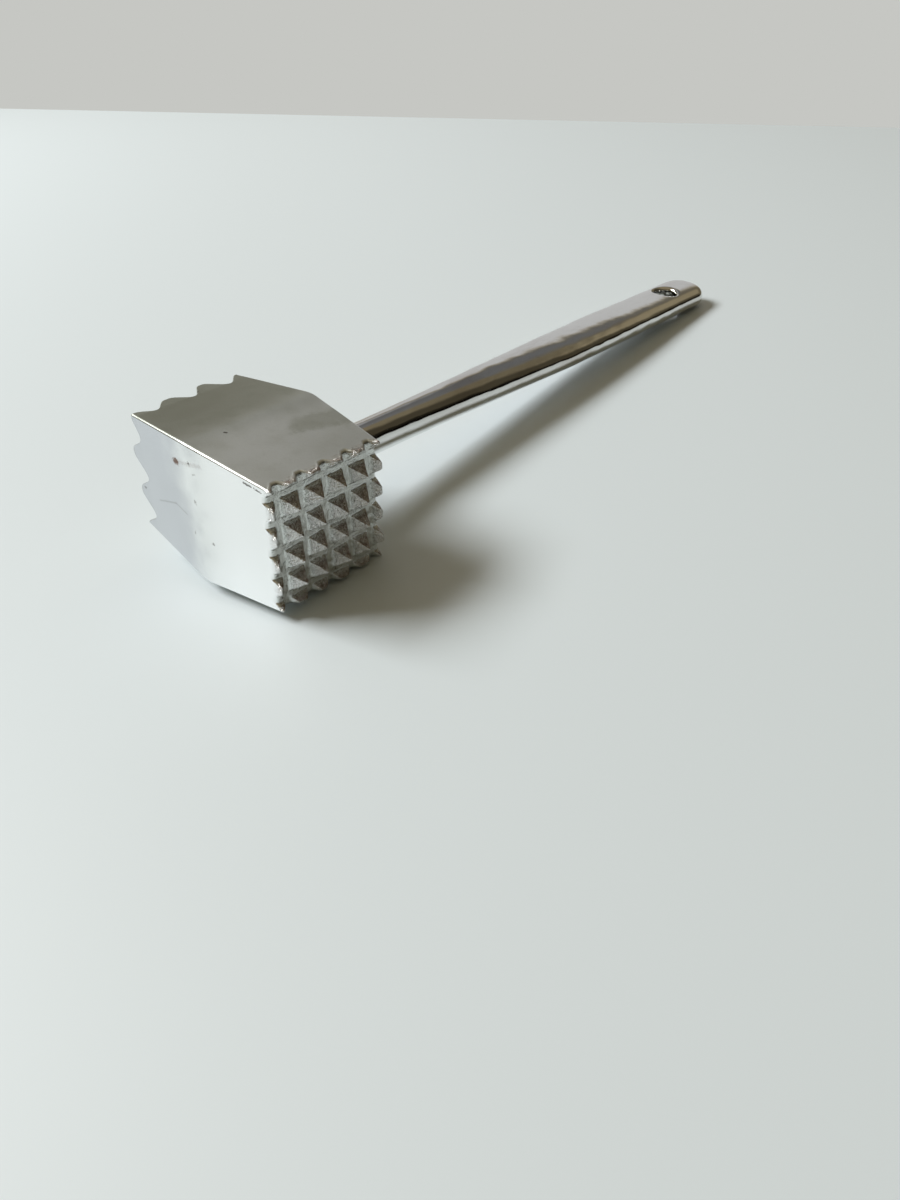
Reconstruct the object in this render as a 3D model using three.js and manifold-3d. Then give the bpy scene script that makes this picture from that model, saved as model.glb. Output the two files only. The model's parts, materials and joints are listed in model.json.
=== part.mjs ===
// Meat tenderizer: a square cast head, coarse teeth on one end and fine teeth on the other,
// on a handle that starts round at the head and flattens towards a hanging hole.
// Millimetres, +Z up. The tool is built with the head's centre at the origin, X along the
// handle and Y through the two toothed ends. At the end it is turned into the pose in which
// it lies on a table: on the lower edge of the head's fine half and on the tip of the handle.
import * as THREE from 'three';
import Module from 'manifold-3d';
import { mergeVertices } from 'three/addons/utils/BufferGeometryUtils.js';

// Head: a block that is thickest at its waist and narrows towards both toothed ends
const headLength = 60;
const waistWidth = 39.6;
const sideSlope = THREE.MathUtils.degToRad(5.96);
const headEdgeRadius = 0.7;
const headEdgeSteps = 3;

// Coarse teeth: blunt pyramids left between grooves that cross at right angles
const coarseGrooves = 3;
const coarsePitch = 11.4;
const coarseDepth = 5.8;
const coarseCrest = 2.2;
const coarseFloor = 2;
const coarseRounding = 0.9;
const coarseRoundingSteps = 3;

// Fine teeth: sharp pyramids between flat-bottomed channels
const fineGrooves = 5;
const finePitch = 7;
const fineDepth = 4.2;
const fineCrest = 0.3;
const fineFloor = 1.7;
const fineRounding = 0.1;
const fineRoundingSteps = 1;

// Handle: sizes across it, and places measured from the head's centre along X
const rootDiameter = 10.8;
const handleWidth = 19.7;
const endWidth = 18.4;
const endThickness = 8.6;
const swellStart = 25;
const swellEnd = 150;
const handleEnd = 219.5;
const endRounding = 8.6;
const endSquareness = 2.5;
const handleSides = 32;
const handleStations = 22;
const endStations = 7;
const endCapShare = 0.985;

// Hanging hole near the handle's tip, with a rounded mouth on both faces
const holeDiameter = 9;
const holeFromEnd = 21;
const mouthRadius = 1.2;
const mouthSteps = 4;
const holeSides = 32;

// Seat of the handle in the head, and the threaded stud that draws the two together
const fitGap = 0.3;
const seatDepth = 3;
const studDiameter = 6;
const studInHead = 16;
const studInHandle = 20;
const threadPitch = 1;
const threadDepth = 0.5;
const threadLength = 13;
const threadSides = 12;
const stepsPerTurn = 4;
const boreSides = 24;
const boreRelief = 1;

// Spring pin, driven in from below, that locks the stud in the head
const pinDiameter = 2.5;
const pinWall = 0.45;
const pinSlot = 0.5;
const pinInset = 0.8;
const pinPast = 2;
const pinAtStud = 0.5;
const pinSides = 16;

const halfLength = headLength / 2;
const halfWaist = waistWidth / 2;
const cutMargin = 5;
const fullTurn = 2 * Math.PI;

const wasm = await Module();
wasm.setup();

// A closed three.js geometry becomes a solid for cutting, once its shared corners are merged
function toSolid(geometry) {
  const bare = geometry.clone();
  bare.deleteAttribute('normal');
  bare.deleteAttribute('uv');
  const merged = mergeVertices(bare, 1e-5);
  return new wasm.Manifold(new wasm.Mesh({
    numProp: 3,
    vertProperties: new Float32Array(merged.attributes.position.array),
    triVerts: new Uint32Array(merged.index.array),
  }));
}

function toGeometry(solid) {
  const { vertProperties, triVerts } = solid.getMesh();
  const geometry = new THREE.BufferGeometry();
  geometry.setAttribute('position', new THREE.BufferAttribute(new Float32Array(vertProperties), 3));
  geometry.setIndex(new THREE.BufferAttribute(new Uint32Array(triVerts), 1));
  geometry.computeVertexNormals();
  return geometry;
}

// Skin through rings of equal size, closed by a fan at each end. Each ring runs
// anticlockwise when seen from the side towards which the rings advance.
function loft(rings) {
  const size = rings[0].length;
  const points = rings.flat();
  const faces = [];
  for (let r = 0; r + 1 < rings.length; r += 1) {
    for (let i = 0; i < size; i += 1) {
      const a = r * size + i;
      const b = r * size + ((i + 1) % size);
      faces.push(a, b, b + size, a, b + size, a + size);
    }
  }
  const last = (rings.length - 1) * size;
  for (let i = 1; i + 1 < size; i += 1) {
    faces.push(0, i + 1, i);
    faces.push(last, last + i, last + i + 1);
  }
  const geometry = new THREE.BufferGeometry();
  geometry.setAttribute('position', new THREE.Float32BufferAttribute(points.flatMap((p) => p.toArray()), 3));
  geometry.setIndex(faces);
  return geometry;
}

// A round bar or bore along X, from x = from to x = to
function barAlongX(diameter, from, to, sides) {
  const bar = new THREE.CylinderGeometry(diameter / 2, diameter / 2, to - from, sides);
  bar.rotateZ(-Math.PI / 2);
  bar.translate((from + to) / 2, 0, 0);
  return bar;
}

// Half the head's width at a distance from its waist, where its two slopes meet
function headHalfWidth(y) {
  const away = Math.abs(y);
  const slope = Math.tan(sideSlope);
  return halfWaist - slope * away;
}

// Square ring with rounded corners, at one station along Y
function headRing(y) {
  const half = headHalfWidth(y);
  const inner = half - headEdgeRadius;
  const ring = [];
  for (let corner = 0; corner < 4; corner += 1) {
    const middle = Math.PI / 4 + corner * Math.PI / 2;
    const centreX = inner * Math.sign(Math.cos(middle));
    const centreZ = inner * Math.sign(Math.sin(middle));
    for (let i = 0; i <= headEdgeSteps; i += 1) {
      const turn = middle - Math.PI / 4 + (Math.PI / 2) * (i / headEdgeSteps);
      const x = centreX + headEdgeRadius * Math.cos(turn);
      const z = centreZ + headEdgeRadius * Math.sin(turn);
      ring.push(new THREE.Vector3(x, y, z));
    }
  }
  return ring;
}

function headBlank() {
  const stations = [halfLength, 0, -halfLength];
  return toSolid(loft(stations.map(headRing)));
}

// Section of one groove: a trapezoid between two crests, with rounded corners at its floor
// and at its brinks. The tips of the teeth are at height zero.
function grooveProfile({ pitch, depth, crest, floor, rounding, steps }) {
  const round = (from, corner, to) => new THREE.QuadraticBezierCurve(from, corner, to).getPoints(steps);
  const brink = new THREE.Vector2((pitch - crest) / 2, 0);
  const foot = new THREE.Vector2(floor / 2, -depth);
  const level = new THREE.Vector2(rounding, 0);
  const down = foot.clone().sub(brink).setLength(rounding);
  const right = [
    new THREE.Vector2(brink.x + rounding, cutMargin),
    ...round(brink.clone().add(level), brink, brink.clone().add(down)),
    ...round(foot.clone().sub(down), foot, foot.clone().sub(level)),
  ];
  const left = right.map((p) => new THREE.Vector2(-p.x, p.y)).reverse();
  return new THREE.Shape([...right, ...left]);
}

// Grooves of one toothed end, cut across it in both directions
function cutGrooves(block, end, teeth) {
  const reach = waistWidth + 2 * cutMargin;
  const groove = new THREE.ExtrudeGeometry(grooveProfile(teeth), { depth: reach, bevelEnabled: false });
  groove.translate(0, halfLength, -reach / 2);
  if (end < 0) groove.rotateZ(Math.PI);
  let result = block;
  for (let i = 0; i < teeth.count; i += 1) {
    const upright = groove.clone();
    upright.translate((i - (teeth.count - 1) / 2) * teeth.pitch, 0, 0);
    const level = upright.clone();
    level.rotateY(Math.PI / 2);
    result = result.subtract(toSolid(upright)).subtract(toSolid(level));
  }
  return result;
}

const seatFloor = halfWaist - seatDepth;
const studStart = seatFloor - studInHead;
const studEnd = seatFloor + fitGap + studInHandle;
const pinX = studStart + studInHead * pinAtStud;
const pinLow = -halfWaist + pinInset;
const pinHigh = studDiameter / 2 + pinPast;

// Bore across the stud for the pin, open at the head's underside
function pinBore(top) {
  const bottom = -halfWaist - cutMargin;
  const diameter = pinDiameter + 2 * fitGap;
  const bore = new THREE.CylinderGeometry(diameter / 2, diameter / 2, top - bottom, boreSides);
  bore.rotateX(Math.PI / 2);
  bore.translate(pinX, 0, (top + bottom) / 2);
  return toSolid(bore);
}

function headShape() {
  let block = headBlank();
  block = cutGrooves(block, 1, {
    count: coarseGrooves,
    pitch: coarsePitch,
    depth: coarseDepth,
    crest: coarseCrest,
    floor: coarseFloor,
    rounding: coarseRounding,
    steps: coarseRoundingSteps,
  });
  block = cutGrooves(block, -1, {
    count: fineGrooves,
    pitch: finePitch,
    depth: fineDepth,
    crest: fineCrest,
    floor: fineFloor,
    rounding: fineRounding,
    steps: fineRoundingSteps,
  });
  const seat = barAlongX(rootDiameter + 2 * fitGap, seatFloor, halfWaist + cutMargin, handleSides);
  const bore = barAlongX(studDiameter + 2 * fitGap, studStart - boreRelief, seatFloor + fitGap, boreSides);
  block = block.subtract(toSolid(seat)).subtract(toSolid(bore));
  return toGeometry(block.subtract(pinBore(pinHigh + fitGap)));
}

const handleStart = seatFloor + fitGap;
const endCentre = handleEnd - endRounding;
const holeX = handleEnd - holeFromEnd;

// Share of the way along the handle, from the head's face to the start of the rounded end
function handleShare(x) {
  return THREE.MathUtils.clamp((x - halfWaist) / (endCentre - halfWaist), 0, 1);
}

function handleThickness(x) {
  return THREE.MathUtils.lerp(rootDiameter, endThickness, handleShare(x));
}

// The handle swells from its root to its widest place and narrows a little towards its end
function handleWidthAt(x) {
  const swell = THREE.MathUtils.smoothstep(x, swellStart, swellEnd);
  const narrowing = THREE.MathUtils.smoothstep(x, swellEnd, endCentre);
  return THREE.MathUtils.lerp(
    THREE.MathUtils.lerp(rootDiameter, handleWidth, swell), endWidth, narrowing,
  );
}

// One section of the handle: a ring that is round at the root and a flattened, squarer oval
// further out. Past the start of the rounded end it shrinks as a quarter oval in plan, and
// later and faster in thickness.
function handleRing(x) {
  const past = THREE.MathUtils.clamp((x - endCentre) / endRounding, 0, 1);
  const width = Math.sqrt(1 - past ** 2) * handleWidthAt(x);
  const thickness = Math.sqrt(1 - past ** 4) * handleThickness(x);
  const power = 2 / THREE.MathUtils.lerp(2, endSquareness, handleShare(x));
  const ring = [];
  for (let i = 0; i < handleSides; i += 1) {
    const turn = fullTurn * i / handleSides;
    const across = Math.cos(turn);
    const up = Math.sin(turn);
    const y = (width / 2) * Math.sign(across) * Math.abs(across) ** power;
    const z = (thickness / 2) * Math.sign(up) * Math.abs(up) ** power;
    ring.push(new THREE.Vector3(x, y, z));
  }
  return ring;
}

// Cutter for the hanging hole: a straight bore that flares in a quarter round at both faces
function holeCutter() {
  const radius = holeDiameter / 2;
  const face = handleThickness(holeX) / 2;
  const upper = [];
  for (let i = 0; i <= mouthSteps; i += 1) {
    const turn = (Math.PI / 2) * (i / mouthSteps);
    const r = radius + mouthRadius * (1 - Math.cos(turn));
    const z = face - mouthRadius + mouthRadius * Math.sin(turn);
    upper.push(new THREE.Vector2(r, z));
  }
  const top = face + cutMargin;
  upper.push(new THREE.Vector2(radius + mouthRadius, top));
  const lower = upper.map((p) => new THREE.Vector2(p.x, -p.y)).reverse();
  const profile = [new THREE.Vector2(0, -top), ...lower, ...upper, new THREE.Vector2(0, top)];
  const cutter = new THREE.LatheGeometry(profile, holeSides);
  cutter.rotateX(Math.PI / 2);
  cutter.translate(holeX, 0, 0);
  return toSolid(cutter);
}

function handleShape() {
  const stations = [handleStart];
  for (let i = 0; i <= handleStations; i += 1) {
    stations.push(THREE.MathUtils.lerp(halfWaist, endCentre, i / handleStations));
  }
  for (let i = 1; i <= endStations; i += 1) {
    stations.push(endCentre + endRounding * Math.sin((Math.PI / 2) * endCapShare * i / endStations));
  }
  const bar = toSolid(loft(stations.map(handleRing)));
  const bore = barAlongX(
    studDiameter + 2 * fitGap, handleStart - cutMargin, studEnd + boreRelief, boreSides,
  );
  return toGeometry(bar.subtract(toSolid(bore)).subtract(holeCutter()));
}

// Stud with a screw thread at both ends. The radius is a triangle wave of the turn and of the
// place along the stud, so that its crest climbs one pitch in each turn.
function studShape() {
  const length = studEnd - studStart;
  const outer = studDiameter / 2;
  const rings = [];
  const steps = Math.round(length / threadPitch * stepsPerTurn);
  for (let k = 0; k <= steps; k += 1) {
    const along = length * k / steps;
    const threaded = along <= threadLength || along >= length - threadLength;
    const ring = [];
    for (let i = 0; i < threadSides; i += 1) {
      const share = i / threadSides;
      const phase = THREE.MathUtils.euclideanModulo(along / threadPitch - share, 1);
      const dip = threaded ? threadDepth * Math.abs(2 * phase - 1) : threadDepth / 2;
      const turn = fullTurn * share;
      const r = outer - dip;
      ring.push(new THREE.Vector3(studStart + along, r * Math.cos(turn), r * Math.sin(turn)));
    }
    rings.push(ring);
  }
  const plain = toSolid(loft(rings));
  return toGeometry(plain.subtract(pinBore(outer + cutMargin)));
}

// Rolled spring pin: a tube with one slot along its length
function pinShape() {
  const outer = pinDiameter / 2;
  const inner = outer - pinWall;
  const gap = Math.asin(pinSlot / 2 / outer);
  const profile = new THREE.Shape();
  profile.absarc(0, 0, outer, gap, fullTurn - gap, false);
  profile.absarc(0, 0, inner, fullTurn - gap, gap, true);
  profile.closePath();
  const length = pinHigh - pinLow;
  const tube = new THREE.ExtrudeGeometry(profile, { depth: length, bevelEnabled: false, curveSegments: pinSides });
  tube.translate(pinX, 0, pinLow);
  return toGeometry(toSolid(tube));
}

// Metals: bright plating outside, plain steel for the hidden fasteners
const plating = () => new THREE.MeshStandardMaterial({ color: 0xc4c5c2, roughness: 0.2, metalness: 1 });
const steel = () => new THREE.MeshStandardMaterial({ color: 0x8e8f90, roughness: 0.45, metalness: 1 });

function piece(name, geometry, material) {
  const mesh = new THREE.Mesh(geometry, material);
  mesh.name = name;
  return mesh;
}

const head = piece('head', headShape(), plating());
const handle = piece('handle', handleShape(), plating());
const stud = piece('handle_stud', studShape(), steel());
const pin = piece('locking_pin', pinShape(), steel());

// Pose of the tool: rolled about the handle's axis, then tilted about Y. The roll brings the
// lower edge of the fine half, which slopes away from the waist, level with the table.
function pose(tilt) {
  const roll = sideSlope + Math.asin(Math.sin(sideSlope) * Math.tan(tilt));
  return new THREE.Euler(roll, tilt, 0, 'YXZ');
}

// Lowest height of a piece when the tool is in the pose of a tilt
function lowest(mesh, tilt) {
  const turned = mesh.geometry.clone().applyMatrix4(new THREE.Matrix4().makeRotationFromEuler(pose(tilt)));
  turned.computeBoundingBox();
  return turned.boundingBox.min.z;
}

// Tilt at which the head's edge and the handle's tip are equally low, found by halving
function restingTilt() {
  let level = 0;
  let steep = Math.PI / 4;
  for (let i = 0; i < 40; i += 1) {
    const middle = (level + steep) / 2;
    if (lowest(handle, middle) > lowest(head, middle)) level = middle;
    else steep = middle;
  }
  return level;
}

const tool = new THREE.Group();
tool.add(head, handle, stud, pin);
tool.rotation.copy(pose(restingTilt()));

// The middle of the base of the tool's bounding box is the origin of the part
const part = new THREE.Group();
part.add(tool);
part.updateMatrixWorld(true);
const box = new THREE.Box3().setFromObject(part, true);
tool.position.set(-(box.min.x + box.max.x) / 2, -(box.min.y + box.max.y) / 2, -box.min.z);
part.updateMatrixWorld(true);

export default part;
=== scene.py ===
"""A meat tenderizer lying on a pale table: a cast head with coarse teeth on one end and fine
teeth on the other, on a plated handle that flattens towards its hanging hole.

Shapes are worked out in the tool's own frame, in millimetres: the head's centre is the origin,
X runs along the handle, +Y to the coarse teeth and -Y to the fine ones. to_metres() then lays
the tool on the table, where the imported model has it.
"""
import json
import math

import bmesh
import bpy
import numpy as np
from mathutils import Matrix


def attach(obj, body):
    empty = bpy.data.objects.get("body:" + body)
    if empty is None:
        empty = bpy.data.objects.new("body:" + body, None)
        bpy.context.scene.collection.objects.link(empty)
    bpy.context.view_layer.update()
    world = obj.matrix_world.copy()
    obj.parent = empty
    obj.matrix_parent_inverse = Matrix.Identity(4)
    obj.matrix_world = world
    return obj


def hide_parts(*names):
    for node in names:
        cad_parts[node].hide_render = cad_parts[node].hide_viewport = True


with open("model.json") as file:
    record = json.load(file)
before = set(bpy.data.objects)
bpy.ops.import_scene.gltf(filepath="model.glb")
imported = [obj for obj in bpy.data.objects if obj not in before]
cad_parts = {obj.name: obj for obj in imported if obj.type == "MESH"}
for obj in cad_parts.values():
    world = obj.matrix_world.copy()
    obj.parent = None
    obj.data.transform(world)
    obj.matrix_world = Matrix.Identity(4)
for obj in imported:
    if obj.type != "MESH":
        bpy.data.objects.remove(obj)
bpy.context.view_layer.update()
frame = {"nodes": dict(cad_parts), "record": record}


# Head
# One casting, plated. It is thickest at its waist and narrows towards both toothed ends. Two
# sets of grooves crossed at right angles leave the teeth: blunt ones at +Y, sharp ones at -Y.

WAIST_WIDTH = 39.6
SIDE_SLOPE = math.radians(5.96)
WAIST_BLEND = 2.0
EDGE_RADIUS = 0.7
HEAD_LENGTH = 60.0
HALF_WAIST = WAIST_WIDTH / 2

# The skin is a hair smaller than the CAD head, so that it stays inside its box
BOX_SHARE = 0.9994

# Places of the two mounts in the tool's frame: on the underside, off the middle of each half
MOUNT_X = -2.0
FINE_MOUNT_Y = -16.0
MM = 0.001


def unit(vector):
    """A vector of length one."""
    vector = np.asarray(vector, float)
    return vector / np.linalg.norm(vector)


# The record's two mounts are faces of the underside whose slopes are known, so their
# directions give the tool's axes on the table, and one of their points gives its place.
mounts = {mount["name"]: mount for mount in frame["record"]["mounts"]}
fine_down = unit(mounts["underside_fine_half"]["axis"])
coarse_down = unit(mounts["underside_coarse_half"]["axis"])
tool_z = unit(-(fine_down + coarse_down))
tool_y = unit(np.cross(tool_z, np.cross(coarse_down - fine_down, tool_z)))
tool_axes = np.stack([np.cross(tool_y, tool_z), tool_y, tool_z], axis=1)
mount_z = math.tan(SIDE_SLOPE) * abs(FINE_MOUNT_Y) - HALF_WAIST
mount_in_tool = np.array([MOUNT_X, FINE_MOUNT_Y, mount_z])
tool_place = np.array(mounts["underside_fine_half"]["pos_m"]) - tool_axes @ mount_in_tool * MM
tool_roll = math.atan2(tool_axes[2, 1], tool_axes[2, 2])
tool_tilt = -math.asin(tool_axes[2, 0])


def to_metres(points):
    """Points of the tool's frame in millimetres, turned and moved to where the tool lies."""
    return points @ tool_axes.T * MM + tool_place


def soft_min(a, b, reach):
    """The smaller of two values, with a rounded corner where they are closer than reach."""
    near = np.maximum(reach - np.abs(a - b), 0) / reach
    return np.minimum(a, b) - near * near * reach / 4


RIPPLE_WAVES = 14


def ripple(points, wave, seed):
    """Smooth random relief between about -1 and 1: plane sine waves of random direction,
    phase and length near wave, added up."""
    draw = np.random.default_rng(seed)
    total = np.zeros(points.shape[:-1])
    for _ in range(RIPPLE_WAVES):
        way = unit(draw.normal(size=3)) * 2 * np.pi / (wave * draw.uniform(0.7, 1.5))
        total += np.sin(points @ way + draw.uniform(0, 2 * np.pi))
    return total / math.sqrt(RIPPLE_WAVES)


def head_half_width(y):
    """Half the width at a distance y from the waist: straight slopes down to both ends, joined
    by a short parabola at the waist."""
    away = np.abs(y)
    blend = (away ** 2 + WAIST_BLEND ** 2) / (2 * WAIST_BLEND)
    return HALF_WAIST - math.tan(SIDE_SLOPE) * np.where(away < WAIST_BLEND, blend, away)


def flank(across, count, pitch, depth, crest, floor, foot_round, crest_round):
    """Height over the grooves' floor: nothing near the middle of a groove, then a straight
    flank up to the crest, with both corners rounded."""
    middles = (np.arange(count) - (count - 1) / 2) * pitch
    away = np.abs(across[..., None] - middles).min(axis=-1)
    steep = depth / ((pitch - crest) / 2 - floor / 2)
    rise = (away - floor / 2) * steep
    return soft_min(-soft_min(-rise, 0 * rise, foot_round), depth + 0 * rise, crest_round)


COARSE = dict(count=3, pitch=11.4, depth=5.8, crest=2.2, floor=2.0, foot_round=1.6, crest_round=1.3)
FINE = dict(count=5, pitch=7.0, depth=4.2, crest=0.3, floor=1.7, foot_round=0.35, crest_round=0.12)

# Room that each end leaves for its cast relief, and the round on the ridges of its teeth
COARSE_ROOM = 0.15
FINE_ROOM = 0.2
COARSE_RIDGE = 0.28
FINE_RIDGE = 0.14

# Rounds of the rims where the ends meet the sides
COARSE_ROLL = 0.35
FINE_ROLL = 1.1


def hill(x, z, at_x, at_z, wide_x, wide_z):
    """A bell shaped bump of height one at a place of a toothed end."""
    return np.exp(-((x - at_x) / wide_x) ** 2 - ((z - at_z) / wide_z) ** 2)


def coarse_end(x, z):
    """Distance of the coarse end's surface from the waist: blunt pyramids, whose crests are
    worn down along the upper edge of the head."""
    rise = soft_min(flank(x, **COARSE), flank(z, **COARSE), COARSE_RIDGE)
    worn = 0.50 * hill(x, z, -17, 17, 4, 4.5)
    worn = worn + 0.26 * hill(x, z, -6, 17, 4, 4)
    worn = worn + 0.24 * hill(x, z, 17, 17, 4, 4)
    cast = 0.07 * ripple(np.stack([x, z, 0 * x], -1), wave=5.0, seed=11)
    return HEAD_LENGTH / 2 - COARSE["depth"] - COARSE_ROOM + rise * (1 - worn) + cast


def fine_end(x, z):
    """Distance of the fine end's surface from the waist: sharp pyramids, uneven as cast. Those
    along the edges are blunter, and the outer row on the handle's side stands prouder."""
    face = np.stack([x, z, 0 * x], -1)
    bend = 0.22 * ripple(face, wave=9.0, seed=5)
    sway = 0.22 * ripple(face, wave=9.0, seed=6)
    rise = soft_min(flank(x + bend, **FINE), flank(z + sway, **FINE), FINE_RIDGE)
    outer = np.clip((np.maximum(np.abs(x), np.abs(z)) - 15.0) / 1.2, 0, 1)
    rise = rise - 0.07 * rise ** 2 * outer
    proud = 0.30 * np.exp(-((x - 17) / 2.2) ** 2) * (np.abs(z) < 12)
    size = 0.05 * ripple(face, wave=8.0, seed=7)
    cast = 0.05 * ripple(face, wave=1.6, seed=8) + 0.06 * ripple(face, wave=3.4, seed=9)
    return HEAD_LENGTH / 2 - FINE["depth"] - FINE_ROOM + rise * (1 + proud + size) + cast


def rounded_square(u, v, round_share):
    """Moves the corners of the square from -1 to 1 onto quarter rounds: in each corner cell a
    point keeps its direction from the cell's inner corner, and its larger part as distance."""
    inner = 1 - round_share
    du = u - np.clip(u, -inner, inner)
    dv = v - np.clip(v, -inner, inner)
    length = np.hypot(du, dv)
    scale = np.where(length > 0, np.maximum(np.abs(du), np.abs(dv)) / np.maximum(length, 1e-12), 1)
    return u - du + du * scale, v - dv + dv * scale


# Where the level rings of the sides begin and end, with closer ones at the waist
RING_LOW = -23.0
RING_HIGH = 22.0
WAIST_RINGS = [-1.2, -0.6, 0, 0.6, 1.2]

# Share of the width by which the grinding waves draw the sides in
GROUND_SHARE = 0.001

# An end's surface lies about this far inside its tooth tips on average
FIRST_GUESS = 4


def head_surface(cells=148, corner_cells=4):
    """The head's skin: a grid over each toothed end, whose points lie at u and v times the half
    width of the head at their own height, and rings that join the two grids' outlines."""
    share = EDGE_RADIUS / HALF_WAIST
    middle = np.linspace(-1 + share, 1 - share, cells + 1)
    corner = 1 - share * (1 - np.arange(1, corner_cells + 1) / corner_cells)
    line = np.concatenate([-corner[::-1], middle, corner])
    size = len(line)
    u, v = np.meshgrid(line, line, indexing="ij")
    moved_u, moved_v = rounded_square(u, v, share)
    rim = 1 - np.maximum(np.abs(u), np.abs(v))

    def end_grid(height, sign, roll):
        """Points of one end, whose rim is rolled over by a quarter round. The height is found
        again for the width that it gives."""
        y = np.full(u.shape, HEAD_LENGTH / 2 - FIRST_GUESS)
        for _ in range(12):
            half = head_half_width(y)
            edge = np.clip(1 - rim * half / roll, 0, 1)
            y = height(moved_u * half, moved_v * half) - roll * (1 - np.sqrt(1 - edge ** 2))
        half = head_half_width(y)
        return np.stack([moved_u * half, sign * y, moved_v * half], axis=-1).reshape(-1, 3)

    fine = end_grid(fine_end, -1, FINE_ROLL)
    coarse = end_grid(coarse_end, 1, COARSE_ROLL)

    index = np.arange(size * size).reshape(size, size)
    loop = np.concatenate([index[:-1, 0], index[-1, :-1], index[:0:-1, -1], index[0, :0:-1]])
    ring_u = moved_u.ravel()[loop]
    ring_v = moved_v.ravel()[loop]

    fine_levels = np.linspace(RING_LOW, -WAIST_BLEND, 12)
    coarse_levels = np.linspace(WAIST_BLEND, RING_HIGH, 12)
    levels = np.concatenate([fine_levels, WAIST_RINGS, coarse_levels])
    to_fine = [RING_LOW + (fine[loop, 1] - RING_LOW) * part for part in (0.9, 0.6, 0.3)]
    to_coarse = [RING_HIGH + (coarse[loop, 1] - RING_HIGH) * part for part in (0.3, 0.6, 0.9)]
    rows = to_fine + [np.full(len(loop), level) for level in levels] + to_coarse
    rings = []
    for y in rows:
        half = head_half_width(y)
        skin = np.stack([ring_u * half, y, ring_v * half], axis=-1)
        uneven = ripple(skin, wave=22.0, seed=3)[:, None] - 2
        rings.append(skin * (1 + GROUND_SHARE * uneven * [1, 0, 1]))
    rings = np.concatenate(rings)

    count = size * size
    points = np.concatenate([fine, coarse, rings])
    a = index[:-1, :-1].ravel()
    b = index[1:, :-1].ravel()
    c = index[1:, 1:].ravel()
    d = index[:-1, 1:].ravel()
    faces = [np.stack([a, b, c, d], 1), np.stack([a, d, c, b], 1) + count]
    around = len(loop)
    between = 2 * count + np.arange(len(rows) * around).reshape(len(rows), around)
    chain = [loop, *between, loop + count]
    for lower, upper in zip(chain[:-1], chain[1:]):
        faces.append(np.stack([lower, upper, np.roll(upper, -1), np.roll(lower, -1)], 1))
    return points, np.concatenate(faces)


def quads_around(number):
    """Four sided faces between neighbouring rows of point numbers, each row a closed ring."""
    inner = number[:-1]
    outer = number[1:]
    corners = [inner, np.roll(inner, -1, 1), np.roll(outer, -1, 1), outer]
    return np.stack([corner.ravel() for corner in corners], 1)


def tube(profile, sides=64):
    """Surface of revolution about X: a profile of (along, radius) points carried round. A
    radius of nothing closes an end in a pole."""
    turn = 2 * np.pi * np.arange(sides) / sides
    along, radius = np.array(profile, float).T
    points = np.stack([
        np.repeat(along, sides),
        np.outer(radius, np.cos(turn)).ravel(),
        np.outer(radius, np.sin(turn)).ravel(),
    ], axis=1)
    return points, quads_around(np.arange(len(points)).reshape(-1, sides))


# Points that lie closer together than this, in metres, become one
WELD = 1e-7


def make_piece(name, points, faces):
    """A mesh object from points in metres and four sided faces. Doubled points are merged,
    faces that fell together at a pole become triangles or go."""
    mesh = bpy.data.meshes.new(name)
    mesh.vertices.add(len(points))
    mesh.vertices.foreach_set("co", np.asarray(points, np.float32).ravel())
    mesh.loops.add(faces.size)
    mesh.loops.foreach_set("vertex_index", faces.astype(np.int32).ravel())
    mesh.polygons.add(len(faces))
    mesh.polygons.foreach_set("loop_start", np.arange(0, faces.size, 4, dtype=np.int32))
    mesh.update(calc_edges=True)
    work = bmesh.new()
    work.from_mesh(mesh)
    bmesh.ops.remove_doubles(work, verts=work.verts, dist=WELD)
    bmesh.ops.dissolve_degenerate(work, edges=work.edges, dist=WELD)
    work.to_mesh(mesh)
    work.free()
    piece = bpy.data.objects.new(name, mesh)
    bpy.context.scene.collection.objects.link(piece)
    return piece


def drill(piece, cutters):
    """Cuts closed surfaces out of a piece and keeps the result as its mesh."""
    for number, (points, faces) in enumerate(cutters):
        cutter = make_piece(f"cutter_{number}", points, faces)
        cut = piece.modifiers.new("cut", "BOOLEAN")
        cut.operation = "DIFFERENCE"
        cut.solver = "EXACT"
        cut.object = cutter
        graph = bpy.context.evaluated_depsgraph_get()
        mesh = bpy.data.meshes.new_from_object(piece.evaluated_get(graph))
        old = piece.data
        piece.modifiers.clear()
        piece.data = mesh
        bpy.data.meshes.remove(old)
        cutter_mesh = cutter.data
        bpy.data.objects.remove(cutter)
        bpy.data.meshes.remove(cutter_mesh)


def smooth(piece, angle):
    """Smooth shading, with edges sharper than an angle in degrees kept crisp."""
    piece.data.polygons.foreach_set("use_smooth", np.ones(len(piece.data.polygons), bool))
    piece.data.set_sharp_from_angle(angle=math.radians(angle))


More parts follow.
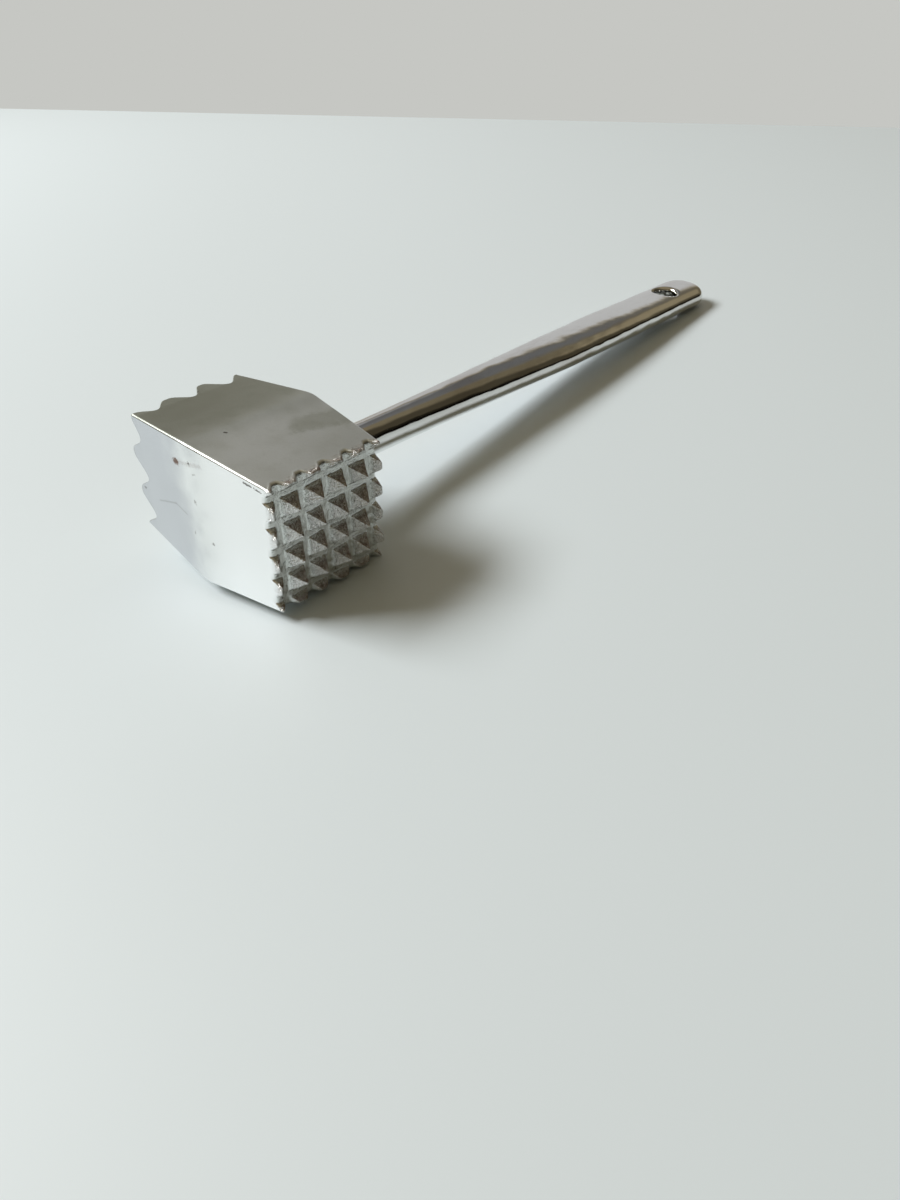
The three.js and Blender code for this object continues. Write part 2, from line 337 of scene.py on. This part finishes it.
class Value:
    """One output of a shader tree. Arithmetic on it adds Math nodes."""

    def __init__(self, tree, socket):
        self.tree = tree
        self.socket = socket

    def math(self, operation, *terms):
        return self.tree.node("Math", {"operation": operation}, dict(enumerate(terms)))

    def __add__(self, other):
        return self.math("ADD", self, other)

    def __radd__(self, other):
        return self.math("ADD", other, self)

    def __sub__(self, other):
        return self.math("SUBTRACT", self, other)

    def __rsub__(self, other):
        return self.math("SUBTRACT", other, self)

    def __mul__(self, other):
        return self.math("MULTIPLY", self, other)

    def __rmul__(self, other):
        return self.math("MULTIPLY", other, self)

    def __truediv__(self, other):
        return self.math("DIVIDE", self, other)

    def __pow__(self, other):
        return self.math("POWER", self, other)

    def __abs__(self):
        return self.math("ABSOLUTE", self)

    def least(self, other):
        return self.math("MINIMUM", self, other)

    def most(self, other):
        return self.math("MAXIMUM", self, other)

    def step(self, start, end):
        """A soft step from nought to one between two values."""
        return self.tree.node("MapRange", {"interpolation_type": "SMOOTHSTEP"},
                              {"Value": self, "From Min": start, "From Max": end})


class Tree:
    """The node tree of a material or of the world."""

    def __init__(self, owner):
        owner.use_nodes = True
        self.nodes = owner.node_tree.nodes
        self.links = owner.node_tree.links
        self.nodes.clear()

    def node(self, kind, settings=None, inputs=None, output=0):
        """Adds a node: its type, its settings, then a number or a Value for each input."""
        node = self.nodes.new("ShaderNode" + kind)
        for key, value in (settings or {}).items():
            setattr(node, key, value)
        for key, value in (inputs or {}).items():
            if isinstance(value, Value):
                self.links.new(value.socket, node.inputs[key])
            else:
                node.inputs[key].default_value = value
        return Value(self, node.outputs[output]) if len(node.outputs) else None

    def noise(self, at, scale, detail=3.0, rough=0.5, distort=0.0):
        """Cloudy noise between nought and one; a larger scale makes it finer."""
        return self.node("TexNoise", {}, {"Vector": at, "Scale": scale, "Detail": detail,
                                          "Roughness": rough, "Distortion": distort})

    def blend(self, share, first, second):
        """A colour between two colours."""
        return self.node("Mix", {"data_type": "RGBA"}, {0: share, 6: first, 7: second}, output=2)

    def parts(self, vector):
        """The three numbers of a vector."""
        return [self.node("SeparateXYZ", {}, {0: vector}, output=k) for k in range(3)]

    def bump(self, height, distance, strength=1.0, normal=None):
        """A surface direction tilted by a relief, on top of another relief where one is given."""
        inputs = {"Height": height, "Distance": distance, "Strength": strength}
        if normal is not None:
            inputs["Normal"] = normal
        return self.node("Bump", {}, inputs)

    def metal(self, tone, roughness, normal):
        """Ends a material's tree in a bare metal surface."""
        shader = self.node("BsdfPrincipled", {}, {"Base Color": tone, "Metallic": 1.0,
                                                  "Roughness": roughness, "Normal": normal})
        self.node("OutputMaterial", {}, {"Surface": shader})

    def mark(self, u, v, start, end, width):
        """Mask of a soft line between two places of a face, one on it and nought beyond width."""
        du = end[0] - start[0]
        dv = end[1] - start[1]
        length = du * du + dv * dv
        share = (((u - start[0]) * du + (v - start[1]) * dv) / length).most(0.0).least(1.0)
        off_u = u - start[0] - share * du
        off_v = v - start[1] - share * dv
        away = (off_u * off_u + off_v * off_v) ** 0.5
        return 1 - away.step(width * 0.35, width)

    def normal_in_tool(self):
        """The surface's direction, turned back into the tool's frame."""
        facing = self.node("TexCoord", {}, {}, output="Normal")
        return self.node("Mapping", {"vector_type": "TEXTURE"}, {
            "Vector": facing, "Rotation": (tool_roll, tool_tilt, 0.0)})

    def place_in_tool(self):
        """Object coordinates turned back into the tool's frame, in millimetres."""
        at = self.node("TexCoord", {}, {}, output="Object")
        return self.node("Mapping", {"vector_type": "TEXTURE"}, {
            "Vector": at, "Location": tuple(tool_place),
            "Rotation": (tool_roll, tool_tilt, 0.0), "Scale": (MM, MM, MM)})


def colour(red, green, blue):
    """A colour for a socket, as the eight bit values that a screen shows."""
    def linear(value):
        """Light that a screen gives for a value, by the usual straight foot and power curve."""
        value = value / 255
        return value / 12.92 if value <= 0.04045 else ((value + 0.055) / 1.055) ** 2.4
    return (linear(red), linear(green), linear(blue), 1.0)


# Nicks in the side next to the viewer: two ends at (y, z), and how wide
NICKS = [
    ((-0.8, 14.9), (-0.6, 14.5), 0.32), ((-2.2, 12.4), (-1.8, 12.0), 0.25),
    ((-0.9, 4.5), (-0.8, 3.9), 0.34), ((1.6, -5.0), (1.4, -5.9), 0.28),
    ((-5.3, -5.8), (-4.9, -6.3), 0.3), ((27.3, -4.2), (26.6, -4.0), 0.3),
    ((-19.2, 16.4), (-21.4, 16.2), 0.34), ((-22.8, 15.9), (-24.4, 15.7), 0.3),
]


def head_plating():
    """Satin nickel and chrome on a casting. A painted highlight makes the side next to the viewer
    nearly white on its fine half, and painted shade makes it cooler grey on its coarse half. The top
    is darker on its coarse half, a painted shade, with a grey haze and a smudge. Dark grime in
    streaks lies among the fine teeth, with painted shade on their upper flanks and a painted
    highlight on the flanks towards the viewer's left."""
    material = bpy.data.materials.new("head_plating")
    tree = Tree(material)
    at = tree.place_in_tool()
    x, y, z = tree.parts(at)
    clouds = tree.noise(at, 0.055, 2.0)
    patches = tree.noise(at, 0.22, 4.0, 0.6)
    grain = tree.noise(at, 5.0, 2.0, 0.6)
    speck = tree.noise(at, 1.9, 3.0, 0.65)
    lines = tree.node("Mapping", {}, {"Vector": at, "Scale": (1.6, 0.35, 1.6)})
    streaks = tree.noise(lines, 1.1, 3.0, 0.6)

    # Masks of the top, of the side next to the viewer, of both toothed ends and of the fine
    # end's groove floors
    half = HALF_WAIST - math.tan(SIDE_SLOPE) * abs(y)
    top = (z - half).step(-0.5, -0.2)
    side = (-1 * x - half).step(-0.5, -0.2)
    fine = (-25.0 - y).step(0.0, 0.6)
    floor = 1 - (-25.4 - y).step(0.5, 1.4)
    coarse = (y - 23.6).step(0.0, 1.0)

    # Places pushed about by the noises, which give the marks ragged outlines
    ragged_x = x + (patches - 0.5) * 9.0
    ragged_y = y + (patches - 0.5) * 6.0
    cloudy_y = y + (clouds - 0.5) * 10.0
    blotchy_y = y + (clouds - 0.5) * 16.0 + (patches - 0.5) * 10.0
    rough_y = y + (speck - 0.5) * 3.0
    rough_z = z + (speck - 0.5) * 1.6

    # Plating of the sides with a painted highlight and painted shade, then the haze, smudge and
    # painted shade on top
    bare = tree.blend(clouds.step(0.35, 0.7), colour(225, 228, 226), colour(215, 218, 214))
    # Painted highlight: the fine half of the viewer's side is made nearly white
    white = tree.blend(side * (1 - y.step(-16.0, 14.0)), bare, colour(252, 253, 253))
    # Painted shade: the coarse half of the viewer's side is made cooler grey, with a ragged edge
    lit_and_shaded_side = tree.blend(side * blotchy_y.step(-7.0, 11.0) * 0.85, white, colour(190, 193, 199))
    smudge = tree.mark(ragged_x, ragged_y, (7.5, -10.8), (18.0, -12.4), 5.0) * 0.8
    haze = tree.mark(ragged_x, ragged_y, (-9.0, 19.0), (-2.0, 21.0), 9.0) * 0.5
    # Painted shade: the top's coarse half is darkened; patches and grain add random tone
    coarse_shade_and_patches = cloudy_y.step(-8.0, 8.0) * 0.9 + patches.step(0.45, 0.75) * 0.15
    coarse_shade_and_patches = coarse_shade_and_patches + grain.step(0.5, 0.62) * 0.17
    # This mask holds the smudge and the haze, and also the painted shade of the top's coarse half
    stain = ((smudge * 0.7 + haze * 0.4 + coarse_shade_and_patches) * top).least(1.0)
    plate = tree.blend(stain, lit_and_shaded_side, colour(168, 171, 161))

    # Fine teeth: grime in streaks, painted shade on the upper flanks, a painted highlight on the
    # flanks towards the viewer's left, and dark specks
    facing = tree.parts(tree.normal_in_tool())
    upward = facing[2].step(0.1, 0.5)
    leftward = (facing[0] * -1).step(0.2, 0.5)
    # Painted shade on the upward flanks, mixed with grime in streaks and patches
    grime_and_shade = (streaks.step(0.42, 0.62) * 0.4 + patches.step(0.48, 0.7) * 0.15 + upward * 0.45) * fine
    grime_and_shade = grime_and_shade * (1 - floor * 0.75) * (1 - leftward * 0.8)
    # Painted highlight: the fine teeth's flanks towards the viewer's left are made nearly white
    flank_highlight = tree.blend(fine * leftward * (1 - floor), plate, colour(250, 250, 250))
    toothed = tree.blend(grime_and_shade, flank_highlight, colour(120, 96, 84))
    spotted = tree.blend(speck.step(0.60, 0.68) * fine * 0.8, toothed, colour(60, 50, 44))

    # A rust spot with a faint smear, nicks and a scratch on the side, and two specks on top
    rust = tree.mark(rough_y, rough_z, (6.0, 12.7), (4.9, 12.9), 1.15)
    rust = rust + 0.2 * tree.mark(rough_y, rough_z, (5.0, 13.2), (-4.6, 15.2), 0.8)
    nicks = 0
    for start, end, width in NICKS:
        nicks = tree.mark(rough_y, rough_z, start, end, width) + nicks
    scratch = tree.mark(y, z, (19.2, -4.4), (9.6, -0.8), 0.35)
    scratch = scratch + tree.mark(y, z, (9.6, -0.8), (4.4, -1.5), 0.35)
    spots = tree.mark(x, y, (1.9, 25.9), (2.2, 25.7), 0.5)
    spots = spots + tree.mark(x, y, (-9.5, -2.0), (-9.2, -2.4), 0.4)
    rusty = tree.blend(rust.least(1.0) * side * 0.85, spotted, colour(112, 74, 52))
    marks = ((nicks + scratch * 0.3) * side + spots * top).least(1.0)
    marked = tree.blend(marks * 0.85, rusty, colour(70, 62, 56))

    rough = 0.22 + top * 0.19 + (patches - 0.5) * 0.08 - fine * (1 - floor) * 0.12 + coarse * 0.04
    rough = rough + rust * side * 0.3 + smudge * top * 0.06
    relief = tree.bump(grain, 0.00003, 0.5)
    pitting = fine * (0.95 - 0.5 * floor) + coarse * 0.1
    pitted = tree.bump(speck + streaks * 1.5, 0.00034, pitting, relief)
    tree.metal(marked, rough, pitted)
    return material


# Seat, stud and pin, as the CAD has them
SEAT_DEPTH = 3.0
FIT_GAP = 0.3
ROOT_DIAMETER = 10.8
STUD_DIAMETER = 6.0
STUD_IN_HEAD = 16.0
STUD_IN_HANDLE = 20.0
BORE_RELIEF = 1.0
PIN_DIAMETER = 2.5
PIN_PAST = 2.0
CUT_MARGIN = 5.0

# The seat's mouth widens by a small chamfer, from a little below the side's surface
CHAMFER_WIDTH = 0.35
CHAMFER_BELOW = 0.25
CHAMFER_ABOVE = 0.1

HEAD_CREASE = 38

seat_floor = HALF_WAIST - SEAT_DEPTH
stud_start = seat_floor - STUD_IN_HEAD
pin_x = stud_start + STUD_IN_HEAD / 2
seat_radius = ROOT_DIAMETER / 2 + FIT_GAP
bore_radius = STUD_DIAMETER / 2 + FIT_GAP
pin_bore_radius = PIN_DIAMETER / 2 + FIT_GAP
pin_top = STUD_DIAMETER / 2 + PIN_PAST + FIT_GAP
mouth_radius = seat_radius + CHAMFER_WIDTH

# The seat of the handle with the stud's bore behind it, and the pin's bore from below
socket_points, socket_faces = tube([
    (stud_start - BORE_RELIEF, 0), (stud_start - BORE_RELIEF, bore_radius), (seat_floor, bore_radius),
    (seat_floor, seat_radius), (HALF_WAIST - CHAMFER_BELOW, seat_radius),
    (HALF_WAIST + CHAMFER_ABOVE, mouth_radius), (HALF_WAIST + CUT_MARGIN, mouth_radius),
    (HALF_WAIST + CUT_MARGIN, 0),
])
pin_points, pin_faces = tube([
    (-HALF_WAIST - CUT_MARGIN, 0), (-HALF_WAIST - CUT_MARGIN, pin_bore_radius),
    (pin_top, pin_bore_radius), (pin_top, 0),
], sides=32)
upright = pin_points[:, [1, 2, 0]] + [pin_x, 0, 0]

head_points, head_faces = head_surface()
head = make_piece("head_casting", to_metres(head_points * BOX_SHARE), head_faces)
drill(head, [(to_metres(socket_points), socket_faces), (to_metres(upright), pin_faces)])
smooth(head, HEAD_CREASE)
head.data.materials.clear()
head.data.materials.append(head_plating())
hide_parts("head")
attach(head, "root")


# Handle
# One bar, polished and plated: round at the head, wider and flatter further out, with a
# rounded tip and a hanging hole whose mouths are rounded over.

HANDLE_WIDTH = 19.7
END_WIDTH = 18.4
END_THICKNESS = 8.6
SWELL_START = 25.0
SWELL_END = 150.0
HANDLE_END = 219.5
END_ROUNDING = 8.6
END_SQUARENESS = 2.5
HOLE_DIAMETER = 9.0
HOLE_FROM_END = 21.0
MOUTH_RADIUS = 1.2
ROOT_CHAMFER = 0.3
HANDLE_CREASE = 40

# How far the skin stays inside the CAD handle: at the tip, and on the flat faces
TIP_PLAY = 0.05
FACE_PLAY = 0.02

# The polished waves die out between these two places, round the hole
CALM_START = 196
CALM_END = 210

end_centre = HANDLE_END - END_ROUNDING
hole_x = HANDLE_END - HOLE_FROM_END
handle_start = seat_floor + FIT_GAP
stud_end = handle_start + STUD_IN_HANDLE


def ease(x, start, end):
    """Soft step from nought to one between two places."""
    t = np.clip((x - start) / (end - start), 0, 1)
    return t * t * (3 - 2 * t)


def handle_share(x):
    """How far along the handle a place is, from the head's face to the rounded end."""
    return np.clip((x - HALF_WAIST) / (end_centre - HALF_WAIST), 0, 1)


def handle_half_width(x):
    """Half the width: it swells from the root, narrows a little, and ends in a quarter oval."""
    swollen = ROOT_DIAMETER + (HANDLE_WIDTH - ROOT_DIAMETER) * ease(x, SWELL_START, SWELL_END)
    width = swollen + (END_WIDTH - swollen) * ease(x, SWELL_END, end_centre)
    past = np.clip((x - end_centre) / END_ROUNDING, 0, 1)
    return width / 2 * np.sqrt(1 - past ** 2)


def handle_half_thickness(x):
    """Half the thickness on the middle line: it thins evenly, and is rounded off at the end."""
    past = np.clip((x - end_centre) / END_ROUNDING, 0, 1)
    thickness = ROOT_DIAMETER + (END_THICKNESS - ROOT_DIAMETER) * handle_share(x)
    return thickness / 2 * np.sqrt(1 - past ** 4) - FACE_PLAY


def handle_power(x):
    """Exponent of the section's oval: 2 is an ellipse, more is squarer."""
    return 2 + (END_SQUARENESS - 2) * handle_share(x)


def polish(points):
    """Points drawn in a little by the waves that hand polishing leaves."""
    calm = 1 - ease(points[..., 0], CALM_START, CALM_END)
    drawn = points * [1, 2, 2]
    wave = 0.007 * ripple(drawn, wave=26.0, seed=21) + 0.0035 * ripple(drawn, wave=9.0, seed=22)
    wave = wave + 0.0012 * ripple(drawn, wave=4.0, seed=23) * (points[..., 1] < 0)
    return points * (1 + (calm * (wave - 0.012) - 0.002)[..., None] * [0, 1, 1])


def handle_skin(sides=128, stations=190, across=30, ahead=10):
    """The handle's skin. Rings of a flattened oval run from the stud's bore round the root and
    out to just before the hole. There two sheets, one above and one below, run from the ring
    and the outline inwards to the hole's lip, at the height that the oval has at each place."""
    front = hole_x - ahead
    turn = 2 * np.pi * np.arange(sides) / sides

    def ring(x):
        """A section of the bar: the turn's cosine and sine, each raised to two over the oval's
        power with its sign kept, times the half width and the half thickness."""
        power = 2 / handle_power(x)
        y = handle_half_width(x) * np.sign(np.cos(turn)) * np.abs(np.cos(turn)) ** power
        z = handle_half_thickness(x) * np.sign(np.sin(turn)) * np.abs(np.sin(turn)) ** power
        return np.stack([np.full(sides, x), y, z], axis=1)

    def bore(x, radius):
        """A circle round the middle line."""
        return np.stack([np.full(sides, x), radius * np.cos(turn), radius * np.sin(turn)], axis=1)

    root = ROOT_DIAMETER / 2
    bore_end = stud_end + BORE_RELIEF
    rings = [bore(bore_end, 0), bore(bore_end, bore_radius), bore(handle_start, bore_radius),
             bore(handle_start, root - ROOT_CHAMFER), bore(handle_start + ROOT_CHAMFER, root)]
    rings += [polish(ring(x)) for x in np.linspace(HALF_WAIST, front, stations)]
    body = np.concatenate(rings)
    faces = [quads_around(np.arange(len(body)).reshape(-1, sides))]

    # Outline seen from above, from the ring's near side round the tip to its far side
    side_x = np.linspace(front, end_centre, 20)[1:]
    past = np.linspace(0, np.pi, 57)[1:-1]
    far_x = end_centre + (END_ROUNDING - TIP_PLAY) * np.sin(past)
    tip_y = -END_WIDTH / 2 * np.cos(past)
    outline = np.concatenate([
        np.stack([side_x, -handle_half_width(side_x)], 1),
        np.stack([far_x, tip_y], 1),
        np.stack([side_x[::-1], handle_half_width(side_x[::-1])], 1),
    ])
    edge = ring(front)[:sides // 2 + 1, :2]
    border = np.concatenate([edge, outline])
    count = len(border)
    angle = np.arctan2(border[:, 1], border[:, 0] - hole_x)
    way = np.stack([np.cos(angle), np.sin(angle)], 1)
    radius = HOLE_DIAMETER / 2
    lip = [hole_x, 0] + way * (radius + MOUTH_RADIUS)
    share = 1 - (1 - np.linspace(0, 1, across + 1)) ** END_SQUARENESS
    plan = lip + share[:, None, None] * (border - lip)

    def face_height(xy):
        """Height of the oval's upper surface over a place of the plan."""
        half = np.maximum(handle_half_width(xy[..., 0]), 1e-9)
        power = handle_power(xy[..., 0])
        off = np.clip(np.abs(xy[..., 1]) / half, 0, 1)
        return handle_half_thickness(xy[..., 0]) * (1 - off ** power) ** (1 / power)

    height = face_height(plan)
    height[-1, sides // 2 + 1:] = 0
    height[-1, 0] = 0
    height[-1, sides // 2] = 0
    height[-1, 1:sides // 2] = ring(front)[1:sides // 2, 2]
    start = len(body)
    sheets = []
    number = np.arange((across + 1) * count).reshape(across + 1, count)
    quad = quads_around(number)
    for sign in (1, -1):
        sheet = np.concatenate([plan, sign * height[..., None]], axis=-1).reshape(-1, 3)
        faces.append((quad[:, ::-1] if sign > 0 else quad) + start + len(sheets) * number.size)
        sheets.append(polish(sheet))

    # Wall of the hole: a quarter round below each lip and a straight bore between them
    bend = np.linspace(0, np.pi / 2, 7)
    lip_height = height[0]
    wall = []
    for sign, order in ((1, bend), (-1, bend[::-1])):
        for turn_in in order:
            r = radius + MOUTH_RADIUS * (1 - math.sin(turn_in))
            z = sign * (lip_height - MOUTH_RADIUS * (1 - math.cos(turn_in)))
            wall.append(np.concatenate([[hole_x, 0] + way * r, z[:, None]], axis=1))
    wall = polish(np.array(wall)).reshape(-1, 3)
    wall_quad = quads_around(np.arange(len(wall)).reshape(-1, count))
    faces.append(wall_quad + start + sum(map(len, sheets)))
    return np.concatenate([body] + sheets + [wall]), np.concatenate(faces)


def handle_plating():
    """Polished chrome with faint smears and a warm stain along the middle of the grip."""
    material = bpy.data.materials.new("handle_plating")
    tree = Tree(material)
    at = tree.place_in_tool()
    x, y, z = tree.parts(at)
    along = tree.node("Mapping", {}, {"Vector": at, "Scale": (0.35, 1.0, 1.0)})
    clouds = tree.noise(along, 0.12, 3.0, 0.55)
    smear = tree.noise(along, 0.6, 4.0, 0.6, 0.6)
    grain = tree.noise(at, 3.0, 2.0)

    middle = x.step(55, 95) * (1 - x.step(125, 165))
    warm = (clouds.step(0.4, 0.7) * 0.55 + smear.step(0.45, 0.75) * 0.25) * (0.35 + 0.65 * middle)
    plate = tree.blend(warm, colour(226, 226, 224), colour(188, 179, 172))
    rough = 0.07 + smear.step(0.5, 0.8) * 0.08 + (clouds - 0.5) * 0.04
    relief = tree.bump(grain, 0.00002, 0.12)
    waves = tree.bump(smear, 0.00008, 0.15, relief)
    tree.metal(plate, rough, waves)
    return material


handle_points, handle_faces = handle_skin()
handle = make_piece("handle_bar", to_metres(handle_points), handle_faces)
smooth(handle, HANDLE_CREASE)
handle.data.materials.append(handle_plating())
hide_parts("handle")
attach(handle, "root")


# Stud and locking pin
# Plain steel fasteners inside the joint: a stud with rolled threads, screwed into the head and
# the handle, and a slotted spring pin that shows only as a ring in its bore under the head.

def turned_steel(name, tone, rough):
    """Drawn steel: fine lines along the piece, faint rust in spots."""
    material = bpy.data.materials.new(name)
    tree = Tree(material)
    at = tree.place_in_tool()
    lines = tree.node("Mapping", {}, {"Vector": at, "Scale": (0.4, 4.0, 4.0)})
    drawn = tree.noise(lines, 1.2, 3.0)
    spots = tree.noise(at, 0.5, 4.0, 0.65)
    body = tree.blend(drawn, tone, colour(150, 150, 152))
    rusty = tree.blend(spots.step(0.58, 0.75) * 0.6, body, colour(112, 84, 62))
    tree.metal(rusty, rough + (drawn - 0.5) * 0.2, tree.bump(drawn, 0.00003, 0.4))
    return material


def dress(node, material):
    """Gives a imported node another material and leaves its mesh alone."""
    piece = frame["nodes"][node]
    for slot in piece.material_slots:
        slot.material = material


dress("handle_stud", turned_steel("stud_steel", colour(172, 172, 174), 0.34))
dress("locking_pin", turned_steel("pin_steel", colour(120, 120, 124), 0.40))


# Table, light and view
# A pale matt table top that ends at a pale wall, a large soft window light from behind the
# coarse end, and a room that is dim on the viewer's right.

TABLE_REACH = 1.4
WALL_X = 0.452
TABLE_DROP = 0.00005

table_points = np.array([
    [-TABLE_REACH, -TABLE_REACH, -TABLE_DROP], [WALL_X, -TABLE_REACH, -TABLE_DROP],
    [WALL_X, TABLE_REACH, -TABLE_DROP], [-TABLE_REACH, TABLE_REACH, -TABLE_DROP],
])
table = make_piece("table_top", table_points, np.array([[0, 1, 2, 3]]))
table_material = bpy.data.materials.new("table_paint")
tree = Tree(table_material)
paint = tree.node("BsdfPrincipled", {}, {"Base Color": colour(221, 229, 233), "Roughness": 0.55})
tree.node("OutputMaterial", {}, {"Surface": paint})
table.data.materials.append(table_material)


def set_pose(thing, right, up, back, place):
    """Turns a lamp or camera by its three axes, moves it and puts it in the scene."""
    matrix = np.eye(4)
    matrix[:3] = np.stack([right, up, back, place], axis=1)
    thing.matrix_world = Matrix(matrix)
    bpy.context.scene.collection.objects.link(thing)


# Window light: a large lamp that faces the middle of the tool
WINDOW_AZIMUTH = math.radians(116)
WINDOW_ELEVATION = math.radians(44)
WINDOW_DISTANCE = 2.6
WINDOW_TARGET = (-0.06, 0.0, 0.01)

window = bpy.data.lights.new("window_light", "AREA")
window.shape = "RECTANGLE"
window.size = 1.35
window.size_y = 0.85
window.energy = 74.0
window.color = (0.98, 1.0, 1.0)
window_way = unit([
    math.cos(WINDOW_ELEVATION) * math.cos(WINDOW_AZIMUTH),
    math.cos(WINDOW_ELEVATION) * math.sin(WINDOW_AZIMUTH),
    math.sin(WINDOW_ELEVATION),
])
window_right = unit(np.cross([0, 0, 1], window_way))
set_pose(bpy.data.objects.new("window_light", window), window_right,
         np.cross(window_way, window_right), window_way,
         WINDOW_TARGET + window_way * WINDOW_DISTANCE)


def room():
    """The world seen in the plating: a pale wall low ahead of the head with a dimmer shelf of
    light above it, a faint glow further right, dim brown walls around, and a nearly black
    place on the viewer's right. The camera itself sees one pale tone."""
    world = bpy.data.worlds.new("room")
    bpy.context.scene.world = world
    tree = Tree(world)
    way = tree.node("TexCoord", {}, {}, output="Generated")
    x, y, z = tree.parts(way)

    def towards(azimuth, near, far):
        """Nought to one as the azimuth of a direction closes in on one given in degrees."""
        turn = math.radians(azimuth)
        flat = (x * x + y * y).most(1e-6) ** 0.5
        cosine = (x * math.cos(turn) + y * math.sin(turn)) / flat
        return cosine.step(math.cos(math.radians(far)), math.cos(math.radians(near)))

    def below(start, end):
        """One up to a height of a direction, nought above another."""
        return 1 - z.step(start, end)

    # Parts of the room: each spans some azimuths and some heights
    wall = towards(34, 12, 24) * below(0.34, 0.44)
    shelf = towards(52, 10, 19) * z.step(0.38, 0.50) * below(0.74, 0.90)
    overhead = z.step(0.60, 0.95)
    dark = towards(-62, 32, 48) * below(0.80, 0.95)
    glow = towards(-8, 6, 17) * z.step(0.30, 0.38) * below(0.50, 0.60)
    pitch = towards(-92, 44, 50) * below(0.33, 0.41)
    line = towards(-40, 17, 25) * z.step(0.03, 0.07) * below(0.17, 0.22)
    plain = towards(42, 22, 40) * z.step(0.35, 0.5) * below(0.72, 0.86)

    # Brightness, then the brown that the dim parts take
    black = (1 - 0.78 * pitch) * (1 - 0.85 * line)
    light = 0.14 + 0.42 * wall + 0.20 * shelf + 0.12 * overhead + 0.11 * glow
    level = light * (1 - 0.6 * dark) * black
    warm = (1 - wall) * (1 - plain)
    red = level * (1 + 0.12 * warm)
    green = level * (1 - 0.06 * warm)
    blue = level * (1 - 0.40 * warm)
    room_tone = tree.node("CombineColor", {}, {0: red, 1: green, 2: blue})
    seen = tree.node("LightPath", {}, {}, output="Is Camera Ray")
    tone = tree.blend(seen, room_tone, colour(198, 199, 195))
    shell = tree.node("Background", {}, {"Color": tone, "Strength": 1.0})
    tree.node("OutputWorld", {}, {"Surface": shell})


room()

# Camera: where the photograph's lines put it, with the photograph's turn about its own axis
CAMERA_PLACE = (-0.20776, -0.17868, 0.12800)
CAMERA_TARGET = (-0.0882, -0.05366, 0.0)
CAMERA_ROLL = math.radians(7.795)
CAMERA_LENS = 26.553
SENSOR_WIDTH = 36.0

view = bpy.data.cameras.new("view")
view.lens = CAMERA_LENS
view.sensor_width = SENSOR_WIDTH
eye = bpy.data.objects.new("view", view)
look = unit(np.subtract(CAMERA_TARGET, CAMERA_PLACE))
level_right = unit(np.cross(look, [0, 0, 1]))
level_up = np.cross(level_right, look)
right = level_right * math.cos(CAMERA_ROLL) - level_up * math.sin(CAMERA_ROLL)
set_pose(eye, right, np.cross(right, look), -look, CAMERA_PLACE)
bpy.context.scene.camera = eye

bpy.context.scene.view_settings.view_transform = "Standard"
